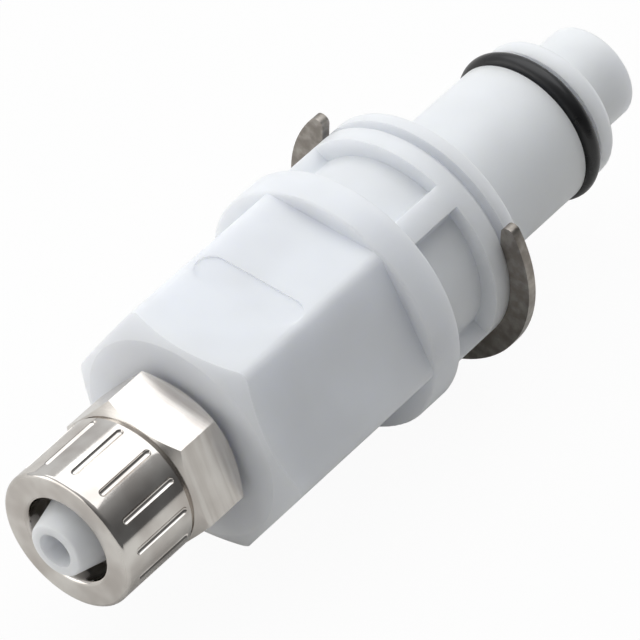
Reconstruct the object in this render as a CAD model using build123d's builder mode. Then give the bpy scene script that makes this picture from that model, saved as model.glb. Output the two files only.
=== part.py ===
from build123d import *
from math import radians, sqrt, tan
import os

os.makedirs("parts", exist_ok=True)

# Plastic quick disconnect insert with a compression nut for soft tubing.
# All sizes are in millimetres. X is the flow axis, and +X points to the nose.
# The origin is on that axis, on the shoulder where the shaft leaves the neck.
# +Z is square to the flat of the hexagon that carries the bare strip.
# Radii are measured from the X axis, and angles from +Y towards +Z.

# Hexagonal body and flange
hex_flats = 22.2
hex_length = 20.3
hex_edge_rounding = 1.3
hex_face_radius = 10.55
hex_chamfer_angle = 32.0
flange_radius = 12.85
flange_thickness = 3.8
flange_rounding = 0.35

# Bare strip on the top flat
strip_length = 11.6
strip_width = 3.3
strip_depth = 0.2
strip_from_flange = 10.6

# Neck with its ribs, ring and end collar
neck_radius = 11.65
pocket_depth = 1.75
pocket_length = 6.75
rib_count = 4
rib_width = 2.6
rib_start_angle = 30.0
rib_root_rounding = 0.4
ring_length = 2.0
collar_length = 1.5
collar_rounding = 0.3

# Retaining clip and its groove
clip_groove_depth = 1.25
clip_thickness = 1.0
clip_side_clearance = 0.05
clip_bore_clearance = 0.05
clip_band_width = 3.35
clip_mouth_width = 20.5
clip_mouth_angle = 91.5
clip_tip_rounding = 0.75

# Threaded end, post and barb for the tube
tube_diameter = 8.0
thread_core_radius = 5.4
thread_length = 9.05
thread_end_chamfer = 0.4
post_length = 8.25
post_radius = 3.0
barb_radius = 3.55
barb_land = 0.35
barb_length = 3.3
barb_back_length = 0.6
barb_tip_radius = 2.75
barb_tip_rounding = 0.3
post_bore_radius = 1.75

# Passage through the body
flow_radius = 3.2
flow_length = 21.0
flow_taper_length = 4.0

# Front stem: spigot, shaft, seal groove, nose flange and tip
shaft_radius = 7.55
shaft_length = 14.3
spigot_length = 9.0
spigot_chamfer = 0.5
seal_cord = 1.78
seal_groove_width = 2.5
seal_groove_radius = 6.3
nose_flange_radius = 7.5
nose_flange_length = 2.2
nose_flange_rounding = 0.7
tip_radius = 5.0
tip_length = 6.3
tip_rounding = 0.5

# Valve chamber, seat and mouth inside the stem
chamber_radius = 4.9
mouth_radius = 3.3
mouth_chamfer = 0.4
seat_setback = 1.0

# Valve poppet and its seal
running_clearance = 0.1
poppet_seal_cord = 1.0
poppet_seal_radius = 3.25
poppet_seal_gap = 0.05
poppet_seal_side_clearance = 0.05
poppet_lip_length = 0.5
poppet_head_length = 1.6
poppet_head_clearance = 0.9
poppet_guide_length = 5.0
poppet_rib_thickness = 1.1
poppet_core_radius = 1.4
poppet_tail_length = 4.0
poppet_tail_clearance = 0.4
poppet_button_radius = 2.2
poppet_button_length = 0.8
poppet_setback = 0.5

# Valve spring
spring_wire = 0.8
spring_chamber_clearance = 0.5
spring_turns = 6

# Tube nut
nut_gap = 0.55
nut_flats = 14.3
nut_hex_length = 6.1
nut_hex_angle = 7.2
nut_chamfer_radius = 7.0
nut_chamfer_angle = 30.0
nut_neck_length = 0.5
nut_neck_radius = 6.75
barrel_radius = 7.15
barrel_length = 8.75
barrel_rounding = 0.45
mouth_clearance = 0.42
mouth_rounding = 0.5
thread_running_clearance = 0.05
nut_cone_from_thread = 2.4
nut_cone_angle = 35.0
nut_rear_countersink = 0.6
flute_count = 14
flute_start_angle = 10.5
flute_length = 6.8
flute_cutter_radius = 0.42
flute_depth = 0.26
flute_from_neck = 0.4

# Radii of the pockets' floor and of the clip's groove, and stations along X, from the sizes above
pocket_floor_radius = neck_radius - pocket_depth
clip_groove_radius = neck_radius - clip_groove_depth
clip_groove_width = clip_thickness + 2 * clip_side_clearance
clip_groove_front = -collar_length
clip_groove_rear = clip_groove_front - clip_groove_width
ring_rear = clip_groove_rear - ring_length
flange_rear = ring_rear - pocket_length
flange_front = flange_rear - flange_thickness
hex_front = flange_front - hex_length
thread_end = hex_front - thread_length
post_tip = thread_end - post_length

seal_groove_front = shaft_length + seal_groove_width
nose_front = seal_groove_front + nose_flange_length
tip_end = nose_front + tip_length
seat_end = nose_front - seat_setback
seat_start = seat_end - (chamber_radius - mouth_radius)

nut_rear = hex_front - nut_gap
nut_hex_front = nut_rear - nut_hex_length
barrel_rear = nut_hex_front - nut_neck_length
nut_front = barrel_rear - barrel_length


def rims(part, station, radius):
    """Circular edges around the X axis at one station and of one radius."""
    circles = part.edges().filter_by(GeomType.CIRCLE)
    return circles.filter_by(
        lambda edge: abs(edge.arc_center.X - station) < 1e-4 and abs(edge.radius - radius) < 1e-4
    )


def from_axis(corner):
    """Distance of a sketch corner from the X axis, to a micron, for sketches square to that axis."""
    return round(sqrt(corner.X ** 2 + corner.Y ** 2), 3)


# Body housing: hexagon, flange, ribbed neck, threaded end and post in one moulding
hex_reach = hex_flats / sqrt(3)
chamfer_run = (hex_reach - hex_face_radius) * tan(radians(hex_chamfer_angle))
barb_crest = post_tip + barb_length
barb_back = barb_crest + barb_land

with BuildPart() as body_housing:
    with BuildSketch(Plane.YZ.offset(hex_front)):
        RegularPolygon(hex_flats / 2, 6, major_radius=False)
    extrude(amount=hex_length)
    fillet(body_housing.edges().filter_by(Axis.X), hex_edge_rounding)
    with BuildSketch(Plane.XY):
        Polygon(
            (hex_front, 0),
            (hex_front, hex_face_radius),
            (hex_front + chamfer_run, hex_reach),
            (flange_front, hex_reach),
            (flange_front, 0),
            align=None,
        )
    revolve(axis=Axis.X, mode=Mode.INTERSECT)

    with BuildSketch(Plane.XY.offset(hex_flats / 2)):
        with Locations((flange_front - strip_from_flange, 0)):
            SlotOverall(strip_length, strip_width, rotation=90)
    extrude(amount=-strip_depth, mode=Mode.SUBTRACT)

    with BuildSketch(Plane.XY):
        Polygon(
            (flange_front, 0),
            (flange_front, flange_radius),
            (flange_rear, flange_radius),
            (flange_rear, pocket_floor_radius),
            (ring_rear, pocket_floor_radius),
            (ring_rear, neck_radius),
            (clip_groove_rear, neck_radius),
            (clip_groove_rear, clip_groove_radius),
            (clip_groove_front, clip_groove_radius),
            (clip_groove_front, neck_radius),
            (0, neck_radius),
            (0, 0),
            align=None,
        )
    revolve(axis=Axis.X)
    fillet(rims(body_housing, flange_front, flange_radius), flange_rounding)
    fillet(rims(body_housing, flange_rear, flange_radius), flange_rounding)
    fillet(rims(body_housing, 0, neck_radius), collar_rounding)

    with BuildSketch(Plane.YZ.offset(flange_rear)) as neck_section:
        Circle(pocket_floor_radius)
        with PolarLocations(neck_radius / 2, rib_count, start_angle=rib_start_angle):
            Rectangle(neck_radius, rib_width)
        Circle(neck_radius, mode=Mode.INTERSECT)
        fillet(neck_section.vertices().group_by(from_axis)[0], rib_root_rounding)
    extrude(amount=pocket_length)

    with BuildSketch(Plane.XY) as post_profile:
        Polygon(
            (hex_front, 0),
            (hex_front, thread_core_radius),
            (thread_end + thread_end_chamfer, thread_core_radius),
            (thread_end, thread_core_radius - thread_end_chamfer),
            (thread_end, post_radius),
            (barb_back + barb_back_length, post_radius),
            (barb_back, barb_radius),
            (barb_crest, barb_radius),
            (post_tip, barb_tip_radius),
            (post_tip, 0),
            align=None,
        )
        fillet(post_profile.vertices().group_by(Axis.X)[0].sort_by(Axis.Y)[-1], barb_tip_rounding)
    revolve(axis=Axis.X)

    flow_front = -spigot_length - flow_length
    with BuildSketch(Plane.XY):
        Polygon(
            (0, 0),
            (0, shaft_radius),
            (-spigot_length, shaft_radius),
            (-spigot_length, flow_radius),
            (flow_front, flow_radius),
            (flow_front - flow_taper_length, post_bore_radius),
            (post_tip, post_bore_radius),
            (post_tip, 0),
            align=None,
        )
    revolve(axis=Axis.X, mode=Mode.SUBTRACT)
body_housing.part.label = "body_housing"
export_step(body_housing.part, "parts/body_housing.step")


# Front stem: fixed in the neck by its spigot, it carries the seal and the valve seat
with BuildPart() as front_stem:
    with BuildSketch(Plane.XY):
        Polygon(
            (-spigot_length, chamber_radius),
            (-spigot_length, shaft_radius - spigot_chamfer),
            (-spigot_length + spigot_chamfer, shaft_radius),
            (shaft_length, shaft_radius),
            (shaft_length, seal_groove_radius),
            (seal_groove_front, seal_groove_radius),
            (seal_groove_front, nose_flange_radius),
            (nose_front, nose_flange_radius),
            (nose_front, tip_radius),
            (tip_end, tip_radius),
            (tip_end, mouth_radius + mouth_chamfer),
            (tip_end - mouth_chamfer, mouth_radius),
            (seat_end, mouth_radius),
            (seat_start, chamber_radius),
            align=None,
        )
    revolve(axis=Axis.X)
    fillet(rims(front_stem, nose_front, nose_flange_radius), nose_flange_rounding)
    fillet(rims(front_stem, tip_end, tip_radius), tip_rounding)
front_stem.part.label = "front_stem"
export_step(front_stem.part, "parts/front_stem.step")


# O-ring on the nose: it lies on the floor of its groove, in the middle
with BuildPart() as nose_o_ring:
    with BuildSketch(Plane.XY):
        with Locations((shaft_length + seal_groove_width / 2, seal_groove_radius + seal_cord / 2)):
            Circle(seal_cord / 2)
    revolve(axis=Axis.X)
nose_o_ring.part.label = "nose_o_ring"
export_step(nose_o_ring.part, "parts/nose_o_ring.step")


# Poppet seal: it stands off the 45 degree seat by its gap, measured square to the cone
seal_standoff = (poppet_seal_cord / 2 + poppet_seal_gap) * sqrt(2)
poppet_seal_station = seat_end + mouth_radius - poppet_seal_radius - seal_standoff

with BuildPart() as poppet_seal:
    with BuildSketch(Plane.XY):
        with Locations((poppet_seal_station, poppet_seal_radius)):
            Circle(poppet_seal_cord / 2)
    revolve(axis=Axis.X)
poppet_seal.part.label = "poppet_seal"
export_step(poppet_seal.part, "parts/poppet_seal.step")


# Valve poppet: tail in the spring, ribs in the chamber, head, seal groove, ribs in the mouth
half_groove = poppet_seal_cord / 2 + poppet_seal_side_clearance
head_front = poppet_seal_station - half_groove
head_rear = head_front - poppet_head_length
guide_rear = head_rear - poppet_guide_length
tail_rear = guide_rear - poppet_tail_length
lip_rear = poppet_seal_station + half_groove
lip_front = lip_rear + poppet_lip_length
button_front = tip_end - poppet_setback
button_rear = button_front - poppet_button_length
spring_outer_radius = chamber_radius - spring_chamber_clearance
spring_inner_radius = spring_outer_radius - spring_wire
tail_radius = spring_inner_radius - poppet_tail_clearance
guide_radius = chamber_radius - running_clearance
lip_radius = mouth_radius - running_clearance
head_radius = chamber_radius - poppet_head_clearance
seal_floor_radius = poppet_seal_radius - poppet_seal_cord / 2

with BuildPart() as valve_poppet:
    with BuildSketch(Plane.XY):
        Polygon(
            (tail_rear, 0),
            (tail_rear, tail_radius),
            (guide_rear, tail_radius),
            (guide_rear, poppet_core_radius),
            (head_rear, poppet_core_radius),
            (head_rear, head_radius),
            (head_front, head_radius),
            (head_front, seal_floor_radius),
            (lip_rear, seal_floor_radius),
            (lip_rear, lip_radius),
            (lip_front, lip_radius),
            (lip_front, poppet_core_radius),
            (button_rear, poppet_core_radius),
            (button_rear, poppet_button_radius),
            (button_front, poppet_button_radius),
            (button_front, 0),
            align=None,
        )
    revolve(axis=Axis.X)
    for rear, front, reach in [(guide_rear, head_rear, guide_radius), (lip_front, button_rear, lip_radius)]:
        with BuildSketch(Plane.YZ.offset(rear)):
            Rectangle(2 * reach, poppet_rib_thickness)
            Rectangle(poppet_rib_thickness, 2 * reach)
            Circle(reach, mode=Mode.INTERSECT)
        extrude(amount=front - rear)
valve_poppet.part.label = "valve_poppet"
export_step(valve_poppet.part, "parts/valve_poppet.step")


# Valve spring: a helix of round wire between the body's shoulder and the poppet's ribs
spring_length = guide_rear + spigot_length
spring_radius = spring_outer_radius - spring_wire / 2
coil_length = spring_length - spring_wire
coil = Plane.YZ.offset(-spigot_length + spring_wire / 2) * Helix(
    coil_length / spring_turns, coil_length, spring_radius
)

with BuildPart() as valve_spring:
    with BuildSketch(Plane(origin=coil @ 0, z_dir=coil % 0)):
        Circle(spring_wire / 2)
    sweep(path=coil, is_frenet=True)
valve_spring.part.label = "valve_spring"
export_step(valve_spring.part, "parts/valve_spring.step")


# Tube nut: wrench hexagon, fluted barrel, thread bore and a cone down to the tube's bore
nut_reach = nut_flats / sqrt(3)
nut_chamfer_run = (nut_reach - nut_chamfer_radius) * tan(radians(nut_chamfer_angle))
nut_bore_radius = tube_diameter / 2 + mouth_clearance
thread_bore_radius = thread_core_radius + thread_running_clearance
nut_cone_rear = thread_end - nut_cone_from_thread
nut_cone_front = nut_cone_rear - (thread_bore_radius - nut_bore_radius) / tan(radians(nut_cone_angle))
flute_middle = barrel_rear - flute_from_neck - flute_length / 2
flute_straight = flute_length - 2 * sqrt(flute_cutter_radius ** 2 - (flute_cutter_radius - flute_depth) ** 2)
flute_centre_radius = barrel_radius + flute_cutter_radius - flute_depth

with BuildPart() as tube_nut:
    with BuildSketch(Plane.YZ.offset(nut_hex_front)):
        RegularPolygon(nut_flats / 2, 6, major_radius=False, rotation=nut_hex_angle)
    extrude(amount=nut_hex_length)
    with BuildSketch(Plane.XY):
        Polygon(
            (nut_rear, 0),
            (nut_rear, nut_chamfer_radius),
            (nut_rear - nut_chamfer_run, nut_reach),
            (nut_hex_front + nut_chamfer_run, nut_reach),
            (nut_hex_front, nut_chamfer_radius),
            (nut_hex_front, 0),
            align=None,
        )
    revolve(axis=Axis.X, mode=Mode.INTERSECT)
    with BuildSketch(Plane.XY):
        Polygon(
            (nut_hex_front, 0),
            (nut_hex_front, nut_neck_radius),
            (barrel_rear, nut_neck_radius),
            (barrel_rear, barrel_radius),
            (nut_front, barrel_radius),
            (nut_front, 0),
            align=None,
        )
    revolve(axis=Axis.X)
    fillet(rims(tube_nut, nut_front, barrel_radius), barrel_rounding)
    with BuildSketch(Plane.XY):
        Polygon(
            (nut_rear, 0),
            (nut_rear, thread_bore_radius + nut_rear_countersink),
            (nut_rear - nut_rear_countersink, thread_bore_radius),
            (nut_cone_rear, thread_bore_radius),
            (nut_cone_front, nut_bore_radius),
            (nut_front, nut_bore_radius),
            (nut_front, 0),
            align=None,
        )
    revolve(axis=Axis.X, mode=Mode.SUBTRACT)
    fillet(rims(tube_nut, nut_front, nut_bore_radius), mouth_rounding)
    with Locations(Plane.YZ.offset(flute_middle)):
        with PolarLocations(flute_centre_radius, flute_count, start_angle=flute_start_angle):
            Cylinder(flute_cutter_radius, flute_straight, mode=Mode.SUBTRACT)
    for end in (-1, 1):
        with Locations(Plane.YZ.offset(flute_middle + end * flute_straight / 2)):
            with PolarLocations(flute_centre_radius, flute_count, start_angle=flute_start_angle):
                Sphere(flute_cutter_radius, mode=Mode.SUBTRACT)
tube_nut.part.label = "tube_nut"
export_step(tube_nut.part, "parts/tube_nut.step")


# Retaining clip: a flat open ring, loose in its groove. Its mouth has parallel sides, a little
# closer together than the groove's floor is wide, so the clip snaps on and stays on.
clip_bore_radius = clip_groove_radius + clip_bore_clearance
clip_radius = clip_bore_radius + clip_band_width

with BuildPart() as retaining_clip:
    with BuildSketch(Plane.YZ.offset(clip_groove_rear + clip_side_clearance)) as clip_face:
        Circle(clip_radius)
        Circle(clip_bore_radius, mode=Mode.SUBTRACT)
        with PolarLocations(clip_radius / 2, 1, start_angle=clip_mouth_angle):
            Rectangle(clip_radius, clip_mouth_width, mode=Mode.SUBTRACT)
        fillet(clip_face.vertices().group_by(from_axis)[-1], clip_tip_rounding)
    extrude(amount=clip_thickness)
retaining_clip.part.label = "retaining_clip"
export_step(retaining_clip.part, "parts/retaining_clip.step")
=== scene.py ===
import math

import bpy
from mathutils import Matrix, Vector


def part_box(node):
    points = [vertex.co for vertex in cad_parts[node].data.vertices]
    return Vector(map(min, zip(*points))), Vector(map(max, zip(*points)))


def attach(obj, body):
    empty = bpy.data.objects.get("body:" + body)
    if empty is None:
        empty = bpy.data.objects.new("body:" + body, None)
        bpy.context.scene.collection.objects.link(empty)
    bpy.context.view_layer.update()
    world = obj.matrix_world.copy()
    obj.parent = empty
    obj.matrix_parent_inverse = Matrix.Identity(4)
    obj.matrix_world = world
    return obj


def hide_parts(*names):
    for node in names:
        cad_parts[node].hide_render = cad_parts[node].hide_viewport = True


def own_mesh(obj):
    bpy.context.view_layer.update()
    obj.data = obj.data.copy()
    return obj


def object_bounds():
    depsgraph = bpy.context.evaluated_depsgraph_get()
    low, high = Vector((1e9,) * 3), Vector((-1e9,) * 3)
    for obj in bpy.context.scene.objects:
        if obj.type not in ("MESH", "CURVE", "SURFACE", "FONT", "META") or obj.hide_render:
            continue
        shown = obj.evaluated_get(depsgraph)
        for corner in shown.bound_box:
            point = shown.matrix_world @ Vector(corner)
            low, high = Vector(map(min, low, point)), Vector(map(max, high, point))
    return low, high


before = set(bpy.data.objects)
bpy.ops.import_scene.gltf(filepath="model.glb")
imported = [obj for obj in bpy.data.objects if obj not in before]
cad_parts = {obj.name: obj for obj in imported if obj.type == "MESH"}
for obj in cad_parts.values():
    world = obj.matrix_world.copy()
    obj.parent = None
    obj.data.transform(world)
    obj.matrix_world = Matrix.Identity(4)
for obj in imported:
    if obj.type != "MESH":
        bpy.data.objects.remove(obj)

CAD_BOX = [list(corner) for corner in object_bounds()]
MM = 0.001

# Places and sizes in metres, read from the frame: -X is the tube end, +X the nose
NUT_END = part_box("tube_nut")[0].x
CLIP_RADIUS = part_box("retaining_clip")[1].y
SPRING_LOW, SPRING_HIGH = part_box("valve_spring")
FLOOR_HEIGHT = CAD_BOX[0][2]

# Sizes that the frame doesn't give
HEX_FRONT = -35.45 * MM
NUT_HEX_FRONT = -42.1 * MM
THREAD_END = -44.5 * MM
THREAD_CORE = 5.4 * MM
THREAD_CREST = 5.9 * MM
THREAD_PITCH = 1.0 * MM
THREAD_ROOT_SHARE = 0.86
THREAD_FLAT_SHARE = 0.22
THREAD_SUNK_SHARE = 0.02
THREAD_RUN_OUT_TURNS = 0.5
THREAD_RUN_OUT_SIZE = 0.04
THREAD_STEPS = 420
SPRING_WIRE = 0.8 * MM
SPRING_TURNS = 8.0
SPRING_STEPS = 300
WIRE_SIDES = 14
PARTING_ANGLE = math.radians(30.0)
SOLID_SHARP_ANGLE = 25.0

# The camera looks down on the top flat from the tube end
AZIMUTH = math.radians(-51.5)
ELEVATION = math.radians(45.5)
DISTANCE = 0.605
AIM = Vector((-14.0 * MM, 0.0, 0.0))
PICTURE = 640
PIXELS_PER_METRE = 11050.0
AIM_COLUMN = 331.0
AIM_ROW = 304.0
SENSOR_WIDTH = 36.0

# The studio: the floor, and a room that is pale on one side of the object
FLOOR_HALF_WIDTH = 1.5
FLOOR_GLOW_SHARE = 0.95
ROOM_PALE_SIDE = (0.20, 0.72, 0.66)
ROOM_DIM_LEVEL = 0.12
ROOM_PALE_LEVEL = 0.60
ROOM_FADE = (-0.25, 0.9)
LAMP_DISTANCE = 0.45


class Wire:
    """One output in a node tree. Its operators add Math nodes."""

    def __init__(self, nodes, socket):
        self.nodes = nodes
        self.socket = socket

    def math(self, operation, *values):
        return self.nodes.node("ShaderNodeMath", {"operation": operation}, dict(enumerate(values)))

    def __add__(self, other):
        return self.math("ADD", self, other)

    def __sub__(self, other):
        return self.math("SUBTRACT", self, other)

    def __rsub__(self, other):
        return self.math("SUBTRACT", other, self)

    def __mul__(self, other):
        return self.math("MULTIPLY", self, other)

    def __truediv__(self, other):
        return self.math("DIVIDE", self, other)

    def __pow__(self, other):
        return self.math("POWER", self, other)

    __radd__ = __add__
    __rmul__ = __mul__

    def between(self, low, high, kind="SMOOTHSTEP"):
        """0 below low, 1 above high, and a step between them that is soft, or even with kind LINEAR."""
        sockets = {0: self, 1: low, 2: high, 3: 0.0, 4: 1.0}
        return self.nodes.node("ShaderNodeMapRange", {"interpolation_type": kind}, sockets)


class Nodes:
    """A node tree under construction."""

    def __init__(self, tree):
        self.tree = tree

    def node(self, kind, settings=None, sockets=None, output=0):
        made = self.tree.nodes.new(kind)
        for name, value in (settings or {}).items():
            setattr(made, name, value)
        for key, value in (sockets or {}).items():
            if isinstance(value, Wire):
                self.tree.links.new(value.socket, made.inputs[key])
            else:
                made.inputs[key].default_value = value
        return Wire(self, made.outputs[output])

    def vector(self, x, y, z):
        return self.node("ShaderNodeCombineXYZ", None, {0: x, 1: y, 2: z})


class Paint(Nodes):
    """A material under construction."""

    def __init__(self, name):
        self.material = bpy.data.materials.new(name)
        self.material.use_nodes = True
        super().__init__(self.material.node_tree)
        self.tree.nodes.clear()
        self.output = self.tree.nodes.new("ShaderNodeOutputMaterial")

    def place(self):
        """Object coordinates: a point's place in the frame, in metres."""
        return self.node("ShaderNodeTexCoord", output="Object")

    def axes(self):
        """The point's x, y and z in metres."""
        split = self.node("ShaderNodeSeparateXYZ", None, {0: self.place()})
        outputs = split.socket.node.outputs
        return [Wire(self, outputs[i]) for i in range(3)]

    def stretched(self, scale):
        """Object coordinates multiplied by one number for each axis."""
        return self.node("ShaderNodeMapping", None, {"Vector": self.place(), "Scale": scale})

    def noise(self, scale, detail=3.0, vector=None):
        sockets = {"Vector": vector or self.place(), "Scale": scale, "Detail": detail}
        return self.node("ShaderNodeTexNoise", None, sockets)

    def mix(self, factor, low, high):
        """A colour between low and high."""
        sockets = {0: factor, 6: low, 7: high}
        return self.node("ShaderNodeMix", {"data_type": "RGBA"}, sockets, output=2)

    def bump(self, height, strength, distance):
        sockets = {"Strength": strength, "Distance": distance, "Height": height}
        return self.node("ShaderNodeBump", None, sockets)

    def finish(self, **sockets):
        names = {name.replace("_", " "): value for name, value in sockets.items()}
        shader = self.node("ShaderNodeBsdfPrincipled", None, names)
        self.tree.links.new(shader.socket, self.output.inputs["Surface"])
        return self.material


class Form(Nodes):
    """A piece that Geometry Nodes make. Its sizes are the tree's named inputs."""

    def __init__(self, name, **sizes):
        super().__init__(bpy.data.node_groups.new(name, "GeometryNodeTree"))
        self.name = name
        self.sizes = sizes
        sockets = self.tree.interface
        sockets.new_socket("Piece", in_out="OUTPUT", socket_type="NodeSocketGeometry")
        for size in sizes:
            sockets.new_socket(size, in_out="INPUT", socket_type="NodeSocketFloat")
        self.inputs = self.tree.nodes.new("NodeGroupInput")
        self.output = self.tree.nodes.new("NodeGroupOutput")

    def size(self, name):
        return Wire(self, self.inputs.outputs[name])

    def helix(self, points, turns, radius, along):
        """A curve round the X axis, turning from +Y to +Z. Along gives x for its factor, 0 to 1."""
        line = self.node("GeometryNodeCurvePrimitiveLine")
        steps = {"Curve": line, "Count": points}
        line = self.node("GeometryNodeResampleCurve", {"mode": "COUNT"}, steps)
        factor = self.node("GeometryNodeSplineParameter")
        turned = factor * turns * math.tau
        across = turned.math("COSINE", turned)
        up = turned.math("SINE", turned)
        place = self.vector(along(factor), across * radius, up * radius)
        curve = self.node("GeometryNodeSetPosition", None, {"Geometry": line, "Position": place})
        outward = {"Curve": curve, "Normal": self.vector(0.0, across, up)}
        return self.node("GeometryNodeSetCurveNormal", {"mode": "FREE"}, outward), factor

    def sweep(self, curve, profile, scale=1.0):
        sockets = {"Curve": curve, "Profile Curve": profile, "Scale": scale, "Fill Caps": True}
        return self.node("GeometryNodeCurveToMesh", None, sockets)

    def make(self, mesh, material, sharp_angle):
        """The finished piece: a plain mesh at the origin, with the material on it."""
        real = self.node("GeometryNodeRealizeInstances", None, {0: mesh})
        painted = self.node("GeometryNodeSetMaterial", None, {"Geometry": real, "Material": material})
        self.tree.links.new(painted.socket, self.output.inputs["Piece"])
        piece = bpy.data.objects.new(self.name, bpy.data.meshes.new(self.name))
        bpy.context.scene.collection.objects.link(piece)
        modifier = piece.modifiers.new(self.name, "NODES")
        modifier.node_group = self.tree
        for item in self.tree.interface.items_tree:
            if item.in_out == "INPUT":
                modifier[item.identifier] = self.sizes[item.name]
        shown = piece.evaluated_get(bpy.context.evaluated_depsgraph_get())
        mesh = bpy.data.meshes.new_from_object(shown)
        piece.modifiers.clear()
        piece.data = mesh
        mesh.shade_smooth()
        mesh.set_sharp_from_angle(angle=math.radians(sharp_angle))
        return piece


def colour(red, green, blue):
    return (red, green, blue, 1.0)


def moulded_plastic(name, light, dark, parting=None):
    """Natural white moulding, cloudy and satin, with the line of the mould's halves where given."""
    paint = Paint(name)
    cloud = paint.noise(90.0, 2.0).between(0.35, 0.65)
    grain = paint.noise(5200.0, 2.0)
    ripple = paint.noise(420.0, 1.0)
    height = grain * 0.4 + ripple
    if parting is not None:
        _, y, z = paint.axes()
        off_plane = z * math.cos(parting) - y * math.sin(parting)
        line = 1.0 - off_plane.math("ABSOLUTE", off_plane).between(0.02 * MM, 0.09 * MM)
        height = height + line * 1.5
    return paint.finish(
        Base_Color=paint.mix(cloud, dark, light),
        Roughness=0.36 + ripple * 0.12,
        Subsurface_Weight=0.75,
        Subsurface_Radius=(1.0, 1.0, 1.1),
        Subsurface_Scale=4.0 * MM,
        Specular_IOR_Level=0.4,
        Normal=paint.bump(height, 0.25, 0.02 * MM),
    )


def nickel_plating():
    """Bright nickel over brass: satin end face, lathe marks on the barrel, feed marks on the flats."""
    paint = Paint("nut_nickel")
    x, y, z = paint.axes()
    end_face = 1.0 - x.between(NUT_END + 0.02 * MM, NUT_END + 0.12 * MM)
    hexagon = x.between(NUT_HEX_FRONT - 0.02 * MM, NUT_HEX_FRONT)
    radius = (y * y + z * z) ** 0.5
    lathe = paint.noise(26000.0, 2.0, paint.vector(x, 0.0, 0.0))
    turned = paint.noise(16000.0, 2.0, paint.vector(radius, 0.0, 0.0))
    feed = paint.noise(1.0, 3.0, paint.stretched((2200.0, 90.0, 90.0)))
    shade = (paint.noise(260.0, 2.0) * (1.0 - hexagon * 0.6) + feed * hexagon * 0.6).between(0.25, 0.7)
    height = lathe * (1.0 - end_face) + turned * end_face + feed * hexagon * 1.5
    return paint.finish(
        Base_Color=paint.mix(shade, colour(0.55, 0.51, 0.475), colour(0.77, 0.74, 0.70)),
        Metallic=1.0,
        Roughness=0.09 + end_face * 0.26 + hexagon * (0.08 + feed * 0.12),
        Normal=paint.bump(height, 0.08, 0.02 * MM),
    )


def punched_steel():
    """Stainless strip: dull rolled faces with a brown haze, brighter sheared rim."""
    paint = Paint("clip_strip_steel")
    _, y, z = paint.axes()
    radius = (y * y + z * z) ** 0.5
    rim = radius.between(CLIP_RADIUS - 0.25 * MM, CLIP_RADIUS - 0.02 * MM)
    rolled = paint.noise(1.0, 4.0, paint.stretched((3000.0, 300.0, 3000.0)))
    spots = paint.noise(900.0, 4.0).between(0.35, 0.75)
    return paint.finish(
        Base_Color=paint.mix(spots, colour(0.26, 0.235, 0.21), colour(0.42, 0.39, 0.355)),
        Metallic=1.0,
        Roughness=0.42 + rolled * 0.12 - rim * 0.16,
        Normal=paint.bump(rolled + spots * 0.5, 0.2, 0.02 * MM),
    )


def drawn_wire():
    """Stainless spring wire with faint drawing marks."""
    paint = Paint("spring_wire_steel")
    marks = paint.noise(2600.0, 3.0)
    return paint.finish(
        Base_Color=paint.mix(marks, colour(0.46, 0.45, 0.43), colour(0.62, 0.61, 0.59)),
        Metallic=1.0,
        Roughness=0.24 + marks * 0.12,
        Normal=paint.bump(marks, 0.15, 0.01 * MM),
    )


def moulded_rubber():
    """Black seal rubber with a light film of grease."""
    paint = Paint("seal_black_rubber")
    fine = paint.noise(3800.0, 3.0)
    film = paint.noise(300.0, 2.0).between(0.35, 0.7)
    return paint.finish(
        Base_Color=paint.mix(film, colour(0.004, 0.004, 0.0045), colour(0.013, 0.013, 0.014)),
        Roughness=0.24 + film * 0.16,
        Normal=paint.bump(fine, 0.2, 0.015 * MM),
    )


def dress(node, material):
    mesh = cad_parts[node].data
    mesh.materials.clear()
    mesh.materials.append(material)


def join_facets(node, sharp_angle):
    """Smooth shading over the loose triangles of a solid, with its real edges kept sharp."""
    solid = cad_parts[node]
    weld = solid.modifiers.new("join_facets", "WELD")
    weld.merge_threshold = 0.001 * MM
    for face in solid.data.polygons:
        face.use_smooth = True
    edges = solid.modifiers.new("keep_edges", "EDGE_SPLIT")
    edges.split_angle = math.radians(sharp_angle)


HOUSING_PLASTIC = moulded_plastic(
    "housing_white_plastic", colour(0.82, 0.84, 0.875), colour(0.77, 0.785, 0.81), PARTING_ANGLE
)
STEM_PLASTIC = moulded_plastic("stem_white_plastic", colour(0.83, 0.85, 0.88), colour(0.78, 0.795, 0.82))
POPPET_PLASTIC = moulded_plastic(
    "poppet_white_plastic", colour(0.74, 0.75, 0.76), colour(0.68, 0.69, 0.70)
)
RUBBER = moulded_rubber()
SPRING_STEEL = drawn_wire()

for node, material in {
    "body_housing": HOUSING_PLASTIC,
    "front_stem": STEM_PLASTIC,
    "valve_poppet": POPPET_PLASTIC,
    "nose_o_ring": RUBBER,
    "poppet_seal": RUBBER,
    "tube_nut": nickel_plating(),
    "retaining_clip": punched_steel(),
    "valve_spring": SPRING_STEEL,
}.items():
    dress(node, material)
    join_facets(node, SOLID_SHARP_ANGLE)


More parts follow.
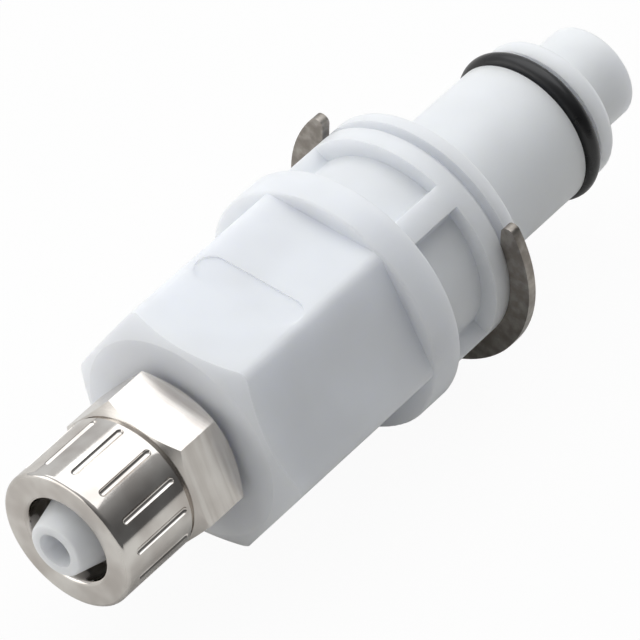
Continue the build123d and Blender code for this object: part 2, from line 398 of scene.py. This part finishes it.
def male_thread():
    """The right-hand thread on the post's root. It runs out over its first and last half turn."""
    length = HEX_FRONT - THREAD_END - THREAD_PITCH
    form = Form("post_thread", Core=THREAD_CORE, Crest=THREAD_CREST, Pitch=THREAD_PITCH, Length=length)
    turns = form.size("Length") / form.size("Pitch")
    end = THREAD_END + 0.5 * THREAD_PITCH

    def along(share):
        return end + share * form.size("Length")

    path, factor = form.helix(THREAD_STEPS, turns, form.size("Core"), along)
    height = form.size("Crest") - form.size("Core")
    sizes = {
        "Bottom Width": form.size("Pitch") * THREAD_ROOT_SHARE,
        "Top Width": form.size("Pitch") * THREAD_FLAT_SHARE,
        "Offset": 0.0,
        "Height": height,
    }
    profile = form.node("GeometryNodeCurvePrimitiveQuadrilateral", {"mode": "TRAPEZOID"}, sizes)
    stood_up = {
        "Geometry": profile,
        "Translation": form.vector(height * (0.5 - THREAD_SUNK_SHARE), 0.0, 0.0),
        "Rotation": (0.0, 0.0, -math.pi / 2),
    }
    profile = form.node("GeometryNodeTransform", None, stood_up)
    turned = factor * turns
    run_out = turned.between(0.0, THREAD_RUN_OUT_TURNS)
    run_out = run_out * (turns - turned).between(0.0, THREAD_RUN_OUT_TURNS)
    size = THREAD_RUN_OUT_SIZE + run_out * (1.0 - THREAD_RUN_OUT_SIZE)
    ridge = form.make(form.sweep(path, profile, size), HOUSING_PLASTIC, 30.0)
    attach(ridge, "housing")


def valve_coil():
    """The valve spring with a closed coil at each end."""
    form = Form(
        "valve_coil",
        Wire=SPRING_WIRE,
        Radius=SPRING_HIGH.y - SPRING_WIRE / 2,
        Turns=SPRING_TURNS,
        Length=SPRING_HIGH.x - SPRING_LOW.x,
    )
    wire = form.size("Wire")
    turns = form.size("Turns")

    def along(share):
        turned = share * turns
        closed = turned.between(0.0, 1.0, "LINEAR") + turned.between(turns - 1.0, turns, "LINEAR")
        open_coils = turned.between(1.0, turns - 1.0, "LINEAR")
        open_length = form.size("Length") - wire * 3.0
        return SPRING_LOW.x + wire * 0.5 + wire * closed + open_length * open_coils

    path, _ = form.helix(SPRING_STEPS, turns, form.size("Radius"), along)
    round_wire = {"Resolution": WIRE_SIDES, "Radius": wire * 0.5}
    profile = form.node("GeometryNodeCurvePrimitiveCircle", None, round_wire)
    coil = form.make(form.sweep(path, profile), SPRING_STEEL, 60.0)
    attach(coil, "housing")
    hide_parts("valve_spring")
    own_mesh(coil)


male_thread()
valve_coil()


def set_camera():
    data = bpy.data.cameras.new("picture_camera")
    camera = bpy.data.objects.new("picture_camera", data)
    bpy.context.scene.collection.objects.link(camera)
    bpy.context.scene.camera = camera
    back = Vector((
        math.sin(AZIMUTH) * math.cos(ELEVATION),
        -math.cos(AZIMUTH) * math.cos(ELEVATION),
        math.sin(ELEVATION),
    ))
    right = Vector((math.cos(AZIMUTH), math.sin(AZIMUTH), 0.0))
    up = back.cross(right)
    offset = right * (PICTURE / 2 - AIM_COLUMN) + up * (AIM_ROW - PICTURE / 2)
    place = AIM + back * DISTANCE + offset / PIXELS_PER_METRE
    turn = Matrix((right, up, back)).transposed().to_4x4()
    camera.matrix_world = Matrix.Translation(place) @ turn
    data.sensor_width = SENSOR_WIDTH
    data.lens = DISTANCE * PIXELS_PER_METRE / PICTURE * SENSOR_WIDTH
    data.clip_start = 0.01
    data.clip_end = 10.0


def softbox(name, direction, size, watts, tint):
    """A rectangular area lamp that faces the aim point from the given direction."""
    data = bpy.data.lights.new(name, "AREA")
    data.shape = "RECTANGLE"
    data.size, data.size_y = size
    data.energy = watts
    data.color = tint
    lamp = bpy.data.objects.new(name, data)
    lamp.location = AIM + Vector(direction).normalized() * LAMP_DISTANCE
    lamp.rotation_euler = Vector(direction).to_track_quat("Z", "Y").to_euler()
    bpy.context.scene.collection.objects.link(lamp)


def plain_floor():
    """A pale floor under the object: white to the camera, and it keeps a faint shadow."""
    half = FLOOR_HALF_WIDTH
    outline = [(-half, -half), (half, -half), (half, half), (-half, half)]
    corners = [(x, y, FLOOR_HEIGHT) for x, y in outline]
    mesh = bpy.data.meshes.new("floor")
    mesh.from_pydata(corners, [], [(0, 1, 2, 3)])
    floor = bpy.data.objects.new("floor", mesh)
    bpy.context.scene.collection.objects.link(floor)
    paint = Paint("pale_floor")
    seen = paint.node("ShaderNodeLightPath", output="Is Camera Ray")
    matte = paint.node("ShaderNodeBsdfDiffuse", None, {"Color": colour(0.80, 0.79, 0.77)})
    glow = paint.node("ShaderNodeEmission", None, {"Color": colour(1.0, 1.0, 1.0), "Strength": 1.0})
    surface = paint.node("ShaderNodeMixShader", None, {0: seen * FLOOR_GLOW_SHARE, 1: matte, 2: glow})
    paint.tree.links.new(surface.socket, paint.output.inputs["Surface"])
    mesh.materials.append(paint.material)


def studio_room():
    """The room: pale above and behind the object, dim on the other side, and white to the camera."""
    world = bpy.data.worlds.new("studio")
    bpy.context.scene.world = world
    world.use_nodes = True
    room = Nodes(world.node_tree)
    seen = room.node("ShaderNodeLightPath", output="Is Camera Ray")
    direction = room.node("ShaderNodeTexCoord", output="Generated")
    sockets = {0: direction, 1: ROOM_PALE_SIDE}
    pale = room.node("ShaderNodeVectorMath", {"operation": "DOT_PRODUCT"}, sockets, output="Value")
    strength = ROOM_DIM_LEVEL + pale.between(*ROOM_FADE) * ROOM_PALE_LEVEL
    background = world.node_tree.nodes["Background"]
    background.inputs["Color"].default_value = colour(0.97, 0.985, 1.0)
    level = strength * (1.0 - seen) + seen
    room.tree.links.new(level.socket, background.inputs["Strength"])


set_camera()
studio_room()
plain_floor()
softbox("key_softbox", (0.30, 0.33, 1.0), (0.72, 0.55), 1.58, (0.97, 0.985, 1.0))
softbox("side_softbox", (-0.8, 0.5, 0.15), (0.45, 0.35), 0.65, (1.0, 0.99, 0.97))

bpy.context.scene.view_settings.view_transform = "Standard"
